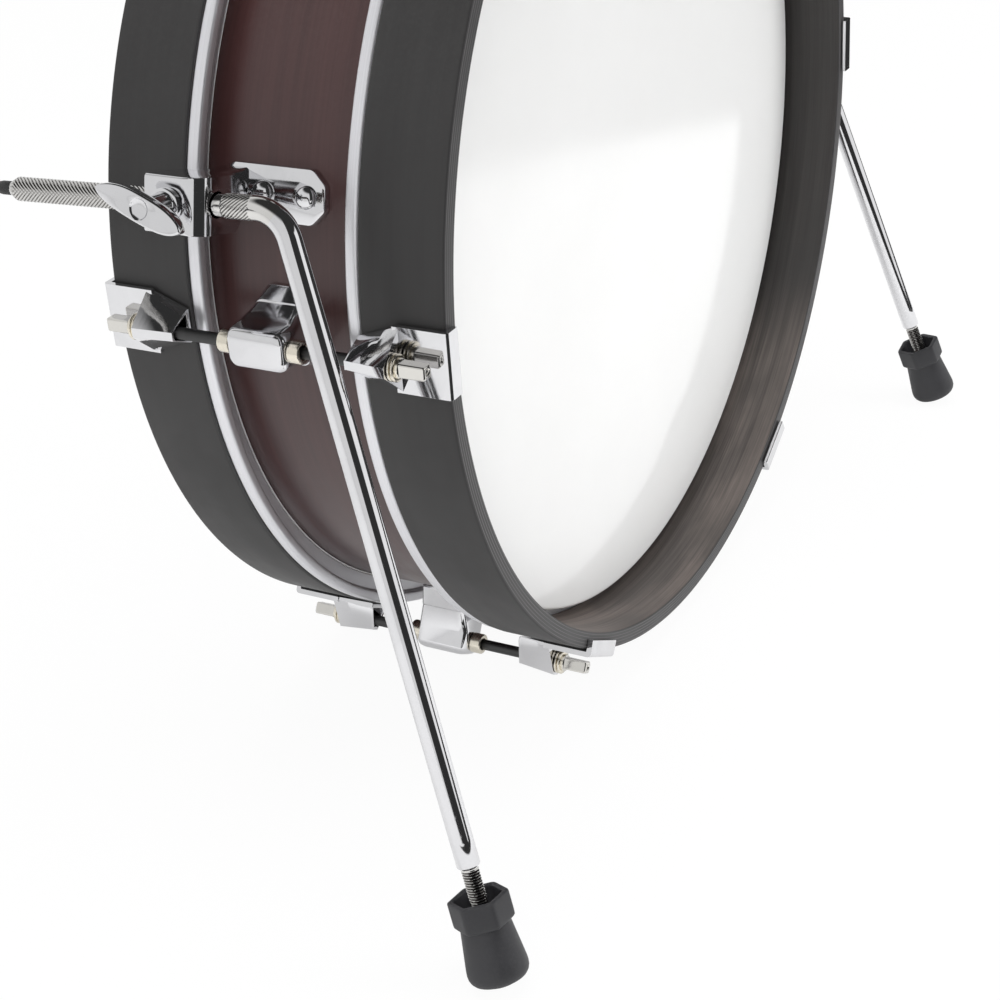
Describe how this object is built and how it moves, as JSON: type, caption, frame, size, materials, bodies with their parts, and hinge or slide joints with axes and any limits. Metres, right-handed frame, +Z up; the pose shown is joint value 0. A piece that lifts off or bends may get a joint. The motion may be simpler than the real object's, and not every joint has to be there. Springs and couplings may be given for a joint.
{
  "type": "bass_drum",
  "caption": "Compact bass drum with a burgundy shell, wide charcoal hoops, chrome claw tensioning and bent-rod spurs",
  "frame": {"origin": "on the floor, under the middle of the drum's box", "axes": "+Z up, +Y from the front head to the batter head along the floor, +X to the drum's right side"},
  "size_m": [0.6534, 0.283, 0.4967],
  "materials": {
    "shell_lacquer": "satin burgundy lacquer",
    "hoop_ply": "satin charcoal lacquer",
    "head_film": "smooth white film",
    "head_hoop_aluminium": "bright extruded aluminium",
    "casting_chrome": "chrome plated casting",
    "nut_nickel": "nickel plated brass",
    "rod_steel": "dark satin steel",
    "spur_chrome": "chrome plated steel rod",
    "foot_rubber": "matte charcoal rubber",
    "end_plastic": "matte dark plastic"
  },
  "bodies": {
    "drum": {"shell": "shell_lacquer", "front_head": "head_film", "front_head_hoop": "head_hoop_aluminium", "front_hoop": "hoop_ply", "batter_head": "head_film", "batter_head_hoop": "head_hoop_aluminium", "batter_hoop": "hoop_ply", "lug_1": "casting_chrome", "front_swivel_nut_1": "nut_nickel", "front_claw_1": "casting_chrome", "batter_swivel_nut_1": "nut_nickel", "batter_claw_1": "casting_chrome", "lug_2": "casting_chrome", "front_swivel_nut_2": "nut_nickel", "front_claw_2": "casting_chrome", "batter_swivel_nut_2": "nut_nickel", "batter_claw_2": "casting_chrome", "lug_3": "casting_chrome", "front_swivel_nut_3": "nut_nickel", "front_claw_3": "casting_chrome", "batter_swivel_nut_3": "nut_nickel", "batter_claw_3": "casting_chrome", "lug_4": "casting_chrome", "front_swivel_nut_4": "nut_nickel", "front_claw_4": "casting_chrome", "batter_swivel_nut_4": "nut_nickel", "batter_claw_4": "casting_chrome", "lug_5": "casting_chrome", "front_swivel_nut_5": "nut_nickel", "front_claw_5": "casting_chrome", "batter_swivel_nut_5": "nut_nickel", "batter_claw_5": "casting_chrome", "lug_6": "casting_chrome", "front_swivel_nut_6": "nut_nickel", "front_claw_6": "casting_chrome", "batter_swivel_nut_6": "nut_nickel", "batter_claw_6": "casting_chrome", "left_spur_bracket": "casting_chrome", "right_spur_bracket": "casting_chrome"},
    "front_tension_rod_1": {"front_tension_rod_1": "rod_steel"},
    "batter_tension_rod_1": {"batter_tension_rod_1": "rod_steel"},
    "front_tension_rod_2": {"front_tension_rod_2": "rod_steel"},
    "batter_tension_rod_2": {"batter_tension_rod_2": "rod_steel"},
    "front_tension_rod_3": {"front_tension_rod_3": "rod_steel"},
    "batter_tension_rod_3": {"batter_tension_rod_3": "rod_steel"},
    "front_tension_rod_4": {"front_tension_rod_4": "rod_steel"},
    "batter_tension_rod_4": {"batter_tension_rod_4": "rod_steel"},
    "front_tension_rod_5": {"front_tension_rod_5": "rod_steel"},
    "batter_tension_rod_5": {"batter_tension_rod_5": "rod_steel"},
    "front_tension_rod_6": {"front_tension_rod_6": "rod_steel"},
    "batter_tension_rod_6": {"batter_tension_rod_6": "rod_steel"},
    "left_wing_bolt": {"left_wing_bolt": "casting_chrome"},
    "left_rod_end": {"left_rod_end": "end_plastic"},
    "left_spur": {"left_spur_rod": "spur_chrome"},
    "left_foot": {"left_spur_foot": "foot_rubber"},
    "right_wing_bolt": {"right_wing_bolt": "casting_chrome"},
    "right_rod_end": {"right_rod_end": "end_plastic"},
    "right_spur": {"right_spur_rod": "spur_chrome"},
    "right_foot": {"right_spur_foot": "foot_rubber"}
  },
  "joints": [
    {"name": "front_tension_rod_1_turn", "type": "hinge", "parent": "drum", "child": "front_tension_rod_1", "pos_m": [0.253, 0.01487, 0.24835], "axis": [0, 0.9974, -0.072], "range_deg": [-720, 720]},
    {"name": "batter_tension_rod_1_turn", "type": "hinge", "parent": "drum", "child": "batter_tension_rod_1", "pos_m": [0.253, 0.01487, 0.24835], "axis": [0, 0.9974, -0.072], "range_deg": [-720, 720]},
    {"name": "front_tension_rod_2_turn", "type": "hinge", "parent": "drum", "child": "front_tension_rod_2", "pos_m": [0.1265, 0.03063, 0.46689], "axis": [0, 0.9974, -0.072], "range_deg": [-720, 720]},
    {"name": "batter_tension_rod_2_turn", "type": "hinge", "parent": "drum", "child": "batter_tension_rod_2", "pos_m": [0.1265, 0.03063, 0.46689], "axis": [0, 0.9974, -0.072], "range_deg": [-720, 720]},
    {"name": "front_tension_rod_3_turn", "type": "hinge", "parent": "drum", "child": "front_tension_rod_3", "pos_m": [-0.1265, 0.03063, 0.46689], "axis": [0, 0.9974, -0.072], "range_deg": [-720, 720]},
    {"name": "batter_tension_rod_3_turn", "type": "hinge", "parent": "drum", "child": "batter_tension_rod_3", "pos_m": [-0.1265, 0.03063, 0.46689], "axis": [0, 0.9974, -0.072], "range_deg": [-720, 720]},
    {"name": "front_tension_rod_4_turn", "type": "hinge", "parent": "drum", "child": "front_tension_rod_4", "pos_m": [-0.253, 0.01487, 0.24835], "axis": [0, 0.9974, -0.072], "range_deg": [-720, 720]},
    {"name": "batter_tension_rod_4_turn", "type": "hinge", "parent": "drum", "child": "batter_tension_rod_4", "pos_m": [-0.253, 0.01487, 0.24835], "axis": [0, 0.9974, -0.072], "range_deg": [-720, 720]},
    {"name": "front_tension_rod_5_turn", "type": "hinge", "parent": "drum", "child": "front_tension_rod_5", "pos_m": [-0.1265, -0.0009, 0.02981], "axis": [0, 0.9974, -0.072], "range_deg": [-720, 720]},
    {"name": "batter_tension_rod_5_turn", "type": "hinge", "parent": "drum", "child": "batter_tension_rod_5", "pos_m": [-0.1265, -0.0009, 0.02981], "axis": [0, 0.9974, -0.072], "range_deg": [-720, 720]},
    {"name": "front_tension_rod_6_turn", "type": "hinge", "parent": "drum", "child": "front_tension_rod_6", "pos_m": [0.1265, -0.0009, 0.02981], "axis": [0, 0.9974, -0.072], "range_deg": [-720, 720]},
    {"name": "batter_tension_rod_6_turn", "type": "hinge", "parent": "drum", "child": "batter_tension_rod_6", "pos_m": [0.1265, -0.0009, 0.02981], "axis": [0, 0.9974, -0.072], "range_deg": [-720, 720]},
    {"name": "left_wing_bolt_turn", "type": "hinge", "parent": "drum", "child": "left_wing_bolt", "pos_m": [-0.27717, 0.03932, 0.31627], "axis": [-0.9686, 0.0179, 0.248], "range_deg": [0, 720]},
    {"name": "left_spur_reach", "type": "slide", "parent": "drum", "child": "left_rod_end", "axis": [-0.0052, 0.9943, -0.1063], "range_m": [-0.07, 0.015]},
    {"name": "left_spur_fold", "type": "hinge", "parent": "left_rod_end", "child": "left_spur", "pos_m": [-0.26466, -0.00717, 0.31807], "axis": [-0.0052, 0.9943, -0.1063], "range_deg": [-4, 150]},
    {"name": "left_foot_screw", "type": "slide", "parent": "left_spur", "child": "left_foot", "axis": [-0.143, -0.3597, -0.9221], "range_m": [-0.007, 0.008]},
    {"name": "right_wing_bolt_turn", "type": "hinge", "parent": "drum", "child": "right_wing_bolt", "pos_m": [0.27717, 0.03932, 0.31627], "axis": [0.9686, 0.0179, 0.248], "range_deg": [0, 720]},
    {"name": "right_spur_reach", "type": "slide", "parent": "drum", "child": "right_rod_end", "axis": [0.0052, 0.9943, -0.1063], "range_m": [-0.07, 0.015]},
    {"name": "right_spur_fold", "type": "hinge", "parent": "right_rod_end", "child": "right_spur", "pos_m": [0.26466, -0.00717, 0.31807], "axis": [-0.0052, -0.9943, 0.1063], "range_deg": [-4, 150]},
    {"name": "right_foot_screw", "type": "slide", "parent": "right_spur", "child": "right_foot", "axis": [0.143, -0.3597, -0.9221], "range_m": [-0.007, 0.008]}
  ]
}
